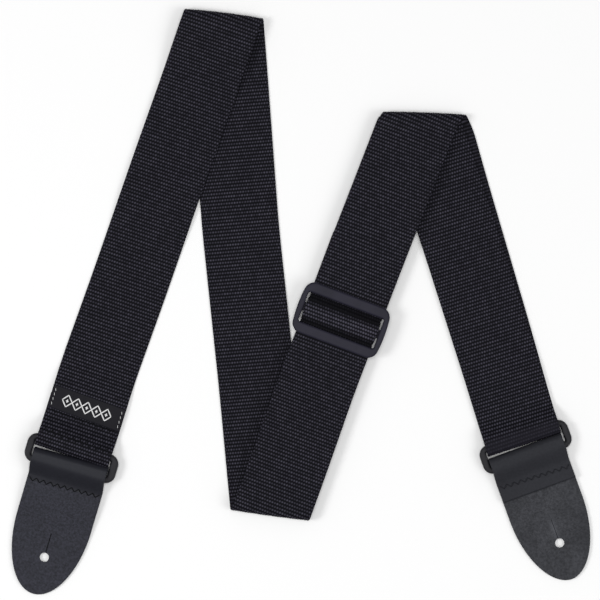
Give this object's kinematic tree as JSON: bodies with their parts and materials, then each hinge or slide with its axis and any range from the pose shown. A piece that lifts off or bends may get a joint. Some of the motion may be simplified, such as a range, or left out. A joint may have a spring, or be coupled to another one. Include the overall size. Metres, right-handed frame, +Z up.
{
  "type": "guitar strap",
  "caption": "Adjustable guitar strap: flat webbing laid in a zigzag, with a slider, plastic rings and leather tabs with button holes.",
  "frame": {"origin": "middle of the laid strap's bounding box, on the surface it lies on", "axes": "+Z up from the surface, +Y from the leather tabs towards the two upper folds, +X from the left tab to the right tab"},
  "size_m": [0.3771, 0.3807, 0.0107],
  "materials": {
    "webbing": "black polypropylene webbing, ribbed plain weave, matt with a faint sheen on the ribs",
    "plastic": "black moulded plastic, fine satin texture, rounded edges",
    "leather": "black split leather, fine grain on the face, matt suede on the flesh side",
    "label": "thin black woven satin",
    "black_thread": "black polyester sewing thread",
    "white_thread": "white polyester thread"
  },
  "bodies": {
    "strap": {"webbing_left_loop": "webbing", "webbing_run_1": "webbing", "webbing_fold_1": "webbing", "webbing_run_2": "webbing", "webbing_fold_2": "webbing", "webbing_run_3": "webbing", "webbing_fold_3": "webbing", "webbing_run_4": "webbing", "webbing_right_loop": "webbing", "webbing_return_run": "webbing", "webbing_return_fold": "webbing", "webbing_return_strand": "webbing", "label": "label", "label_left_stitches": "white_thread", "label_right_stitches": "white_thread", "label_edge_stitches": "black_thread", "left_loop_stitches": "black_thread"},
    "slider": {"slider_frame": "plastic", "webbing_slider_loop": "webbing", "slider_loop_stitches": "black_thread"},
    "left_ring": {"left_ring": "plastic"},
    "left_tab": {"left_leather_tab": "leather", "left_tab_stitches": "black_thread"},
    "right_ring": {"right_ring": "plastic"},
    "right_tab": {"right_leather_tab": "leather", "right_tab_stitches": "black_thread"}
  },
  "joints": [
    {"name": "slider_slide", "type": "slide", "parent": "strap", "child": "slider", "axis": [0.3525, 0.9358, 0], "range_m": [-0.1, 0.04], "deforming": ["webbing_return_strand"]},
    {"name": "left_ring_swing", "type": "hinge", "parent": "strap", "child": "left_ring", "pos_m": [-0.14667, -0.09522, 0.0045], "axis": [-0.9588, 0.284, 0], "range_deg": [-75, 75]},
    {"name": "left_tab_swing", "type": "hinge", "parent": "left_ring", "child": "left_tab", "pos_m": [-0.15084, -0.10932, 0.0045], "axis": [-0.9588, 0.284, 0], "range_deg": [-90, 90]},
    {"name": "right_ring_swing", "type": "hinge", "parent": "strap", "child": "right_ring", "pos_m": [0.14412, -0.08745, 0.0045], "axis": [-0.9461, -0.3239, 0], "range_deg": [-75, 75]},
    {"name": "right_tab_swing", "type": "hinge", "parent": "right_ring", "child": "right_tab", "pos_m": [0.14888, -0.10135, 0.0045], "axis": [-0.9461, -0.3239, 0], "range_deg": [-90, 90]}
  ]
}
